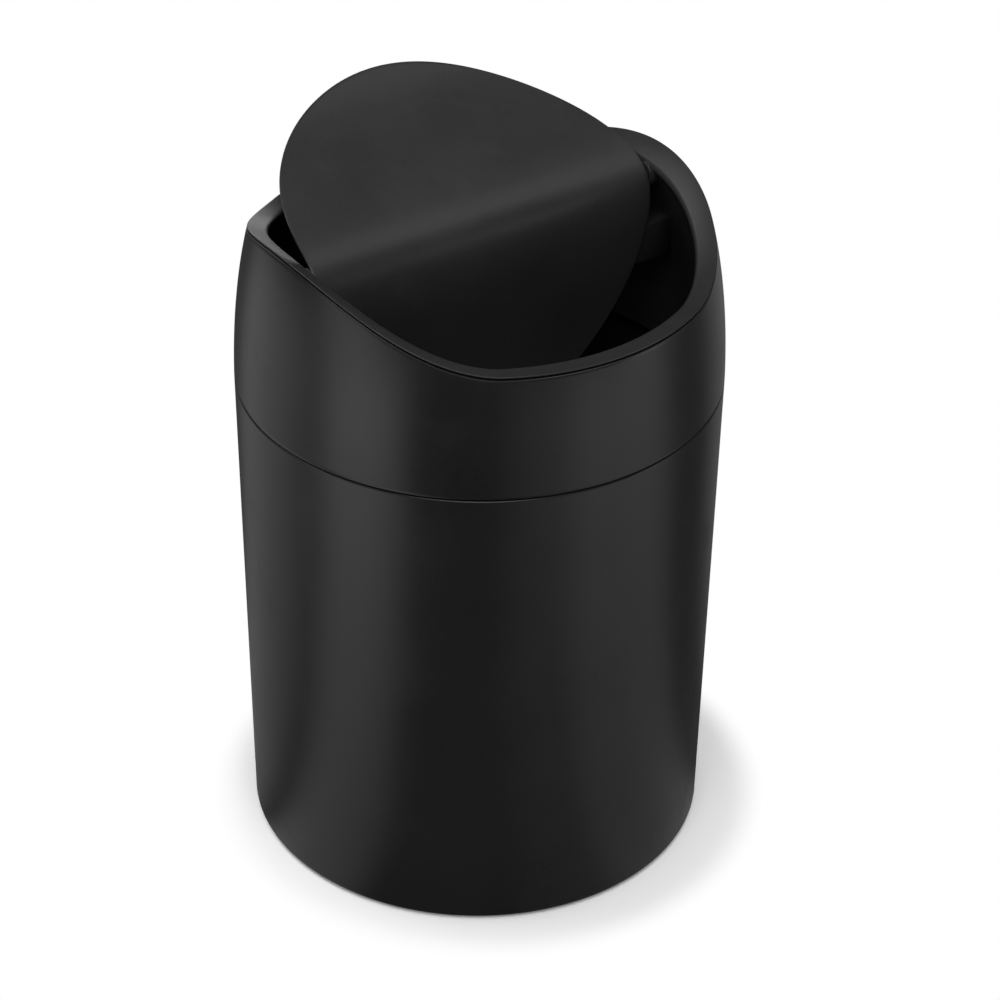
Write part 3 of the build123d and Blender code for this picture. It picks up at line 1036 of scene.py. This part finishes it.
def makePivots(pinFinish, bushFinish):
    ease = pivotShape["pinEase"]
    radius, start, end = radiusAndEnds("pivot_pin_right")
    pin = [
        (0, start),
        (radius - ease, start),
        (radius, start + ease),
        (radius, end - ease),
        (radius - ease, end),
        (0, end),
    ]
    flange, start, end = radiusAndEnds("pivot_bush_right")
    step = start + pivotShape["bushFlange"]
    bush = [
        (pivotShape["bore"], start),
        (flange, start),
        (flange, step),
        (pivotShape["bushRadius"], step),
        (pivotShape["bushRadius"], end),
        (pivotShape["bore"], end),
    ]
    bush = eased(bush, {1: pivotShape["bushEdge"], 2: pivotShape["bushEdge"]})
    pins, bushes = [], []
    for side, name in ((-1, "left"), (1, "right")):
        pins.append(alongPivot("pivotPin_" + name, pin, pinFinish, side))
        bushes.append(alongPivot("pivotBush_" + name, bush, bushFinish, side))
    return pins, bushes


canShape = {
    # mm
    "sheet": 0.8,
    "flare": 2.9,            # wider at the seam than at the base
    "footRounding": 2.0,
    "foldWidth": 6.0,
    "hemDepth": 4.0,
    "hemGap": 0.2,           # inside the folded hem
    "hemRounding": 0.5,
    "foldEdge": 0.3,
    "cornerSteps": 6,
}
canBase = seamRadius - canShape["flare"]


def canRadius(height):
    return canBase + canShape["flare"] / seamHeight * height


def makeCanSleeve(finish):
    low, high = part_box("can_wall")
    foot, top = low[2] / mm, high[2] / mm
    sheet = canShape["sheet"]
    hemLow = top - canShape["hemDepth"]
    hemInner = canRadius(seamHeight) - 2 * sheet - canShape["hemGap"]
    foldInner = canBase - canShape["foldWidth"]
    outline = [
        (foldInner, foot),
        (canRadius(foot), foot),
        (canRadius(top), top),
        (hemInner, top),
        (hemInner, hemLow),
        (canRadius(hemLow) - sheet, hemLow),
        (canRadius(foot + sheet) - sheet, foot + sheet),
        (foldInner, foot + sheet),
    ]
    corner, hem, fold = canShape["footRounding"], canShape["hemRounding"], canShape["foldEdge"]
    edges = {0: fold, 1: corner, 2: hem, 3: hem, 4: fold, 6: corner - sheet, 7: fold}
    outline = eased(outline, edges, canShape["cornerSteps"])
    return turned("canSleeve", lambda angle: outline, finish)


panShape = {
    # mm
    "wall": 2.0,
    "floor": 5.0,
    "rim": 14.0,
    "ringOuter": 59.0,       # radius of the foot ring that carries the pads
    "ringWidth": 13.0,
    "ringClear": 0.6,        # above what the can stands on
    "ringSlope": 1.5,
    "clearance": 0.1,        # between the pan and the sheet
    "roundings": {1: 0.8, 2: 0.8, 3: 0.3, 7: 0.4, 8: 0.6, 9: 1.6, 10: 0.3, 11: 0.5},     # by corner
}


def makeBasePan(finish):
    wall, floor, rim = panShape["wall"], panShape["floor"], panShape["rim"]
    ringLow, ringOuter = panShape["ringClear"], panShape["ringOuter"]
    ringInner = ringOuter - panShape["ringWidth"]
    slope = panShape["ringSlope"]
    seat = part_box("can_wall")[0][2] / mm + canShape["sheet"]
    gap = canShape["sheet"] + panShape["clearance"]
    corner = canShape["footRounding"] - canShape["sheet"]
    outline = [
        (0, floor - wall),
        (ringInner - slope, floor - wall),
        (ringInner, ringLow),
        (ringOuter, ringLow),
        (ringOuter, seat),
        (canRadius(seat) - gap - corner, seat),
        (canRadius(seat + corner) - gap, seat + corner),
        (canRadius(rim) - gap, rim),
        (canRadius(rim) - gap - wall, rim),
        (canRadius(seat + corner) - gap - wall, ringLow + wall),
        (ringInner + wall, ringLow + wall),
        (ringInner + wall - slope, floor),
        (0, floor),
    ]
    outline = eased(outline, panShape["roundings"])
    return turned("basePan", lambda angle: outline, finish)


padShape = {"count": 4, "edge": 0.35, "facets": 64}      # edge in mm


def makeFootPads(finish):
    low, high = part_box("foot_pad_1")
    sizes = {
        "Count": padShape["count"],
        "Pad Radius": (high[0] - low[0]) / 2,
        "Pad Height": high[2] - low[2],
        "Circle": math.hypot(low[0] + high[0], low[1] + high[1]) / 2,
        "Facets": padShape["facets"],
    }
    tree, size = startTree("foot pads", sizes)
    ring = node(tree, "GeometryNodeMeshCircle", ("Vertices", size["Count"]), ("Radius", size["Circle"]))
    spots = transformed(tree, ring.outputs[0], rotation=(0, 0, math.pi / padShape["count"]))
    pad = node(
        tree,
        "GeometryNodeMeshCylinder",
        ("Vertices", size["Facets"]),
        ("Radius", size["Pad Radius"]),
        ("Depth", size["Pad Height"]),
    )
    lift = node(tree, "ShaderNodeCombineXYZ", ("Z", size["Pad Height"] * 0.5))
    raised = transformed(tree, pad.outputs["Mesh"], translation=lift.outputs[0])
    endTree(tree, instancesOn(tree, spots, raised))
    return rounded(grow("footPads", tree, sizes, finish), padShape["edge"])


gripShape = {"lips": 3, "lipHeight": 0.45, "lipRounding": 0.12}      # mm


def makeGripRing(finish):
    low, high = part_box("grip_ring")
    tip = high[0] / mm
    bottom, top = low[2] / mm, high[2] / mm
    back = skirtRadius - linerShape["gripDepth"]
    valley = tip - gripShape["lipHeight"]
    pitch = (top - bottom) / gripShape["lips"]
    outline = [(back, bottom), (valley, bottom)]
    tips = {}
    for lip in range(gripShape["lips"]):
        tips[len(outline)] = gripShape["lipRounding"]
        outline += [(tip, bottom + pitch * (lip + 0.5)), (valley, bottom + pitch * (lip + 1))]
    outline.append((back, top))
    outline = eased(outline, tips)
    return turned("gripRing", lambda angle: outline, finish)


canSleeve = makeCanSleeve(satinCoat)
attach(canSleeve, "body")
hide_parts("can_wall")

basePan = makeBasePan(moulding)
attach(basePan, "body")
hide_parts("base_pan")

footPads = makeFootPads(softGrip)
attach(footPads, "body")
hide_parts("foot_pad_1", "foot_pad_2", "foot_pad_3", "foot_pad_4")
print("can made")

lidSkin = makeLidSkin(satinCoat)
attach(lidSkin, "lid")
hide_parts("lid_skin")

rimLiner = makeRimLiner(moulding)
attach(rimLiner, "lid")
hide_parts("rim_liner")

gripRing = makeGripRing(softGrip)
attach(gripRing, "lid")
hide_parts("grip_ring")
print("lid made")

flapPanel = makeFlapPanel(flapCoatPaintedLight)
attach(flapPanel, "flap")
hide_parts("flap_panel")

flapFrame = makeFlapFrame(moulding)
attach(flapFrame, "flap")
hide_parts("flap_frame")

pivotPins, pivotBushes = makePivots(pinSteel, moulding)
for piece, name in zip(pivotPins, ("pivot_pin_left", "pivot_pin_right")):
    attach(piece, "flap")
    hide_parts(name)
for piece, name in zip(pivotBushes, ("pivot_bush_left", "pivot_bush_right")):
    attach(piece, "lid")
    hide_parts(name)
print("flap and pivots made")

bpy.context.scene.view_settings.view_transform = "Standard"
